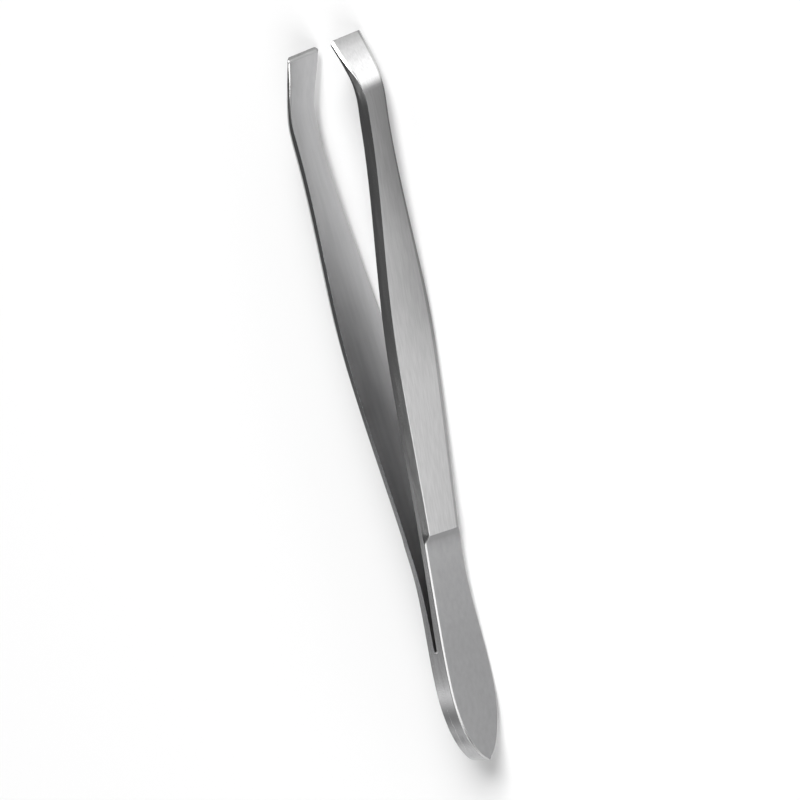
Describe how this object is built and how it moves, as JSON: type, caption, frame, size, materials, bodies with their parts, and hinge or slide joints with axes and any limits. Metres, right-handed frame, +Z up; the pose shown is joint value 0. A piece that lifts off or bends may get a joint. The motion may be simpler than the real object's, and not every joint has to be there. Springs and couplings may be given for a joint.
{
  "type": "slant tweezers",
  "caption": "Steel tweezers with slant-cut claw tips bent inward, bevelled grips, thin spring leaves and a rounded, welded leaf-shaped heel.",
  "frame": {"origin": "centre of the bounding box in X and Y, on the surface that the tweezers lie on with one side edge down", "axes": "+X from the heel to the claw tips, +Y from the right half to the left half, which is the way the arms open, +Z up across the width of the blades"},
  "size_m": [0.0908, 0.014, 0.008],
  "materials": {
    "brushed_steel": "stainless steel, brushed lengthwise, with smoother side bevels",
    "satin_steel": "stainless steel, fine blasted satin with a polished edge bevel",
    "weld_steel": "resistance weld, ground flush with the edges"
  },
  "bodies": {
    "heel": {"heel_leaf_right": "satin_steel", "heel_leaf_left": "satin_steel", "heel_filler": "weld_steel", "spring_leaf_right": "satin_steel", "spring_leaf_left": "satin_steel"},
    "right_arm": {"grip_arm_right": "brushed_steel", "claw_tip_right": "brushed_steel"},
    "left_arm": {"grip_arm_left": "brushed_steel", "claw_tip_left": "brushed_steel"}
  },
  "joints": [
    {"name": "right_squeeze", "type": "hinge", "parent": "heel", "child": "right_arm", "pos_m": [-0.02492, -0.00085, 0.004], "axis": [0, 0, 1], "range_deg": [0, 3], "stiffness_Nm_per_rad": 2, "deforming": ["spring_leaf_right"]},
    {"name": "left_squeeze", "type": "hinge", "parent": "heel", "child": "left_arm", "pos_m": [-0.02492, 0.00085, 0.004], "axis": [0, 0, -1], "range_deg": [0, 3], "stiffness_Nm_per_rad": 2, "deforming": ["spring_leaf_left"]}
  ],
  "couplings": [
    {"joint": "left_squeeze", "follows": "right_squeeze", "ratio": 1}
  ]
}
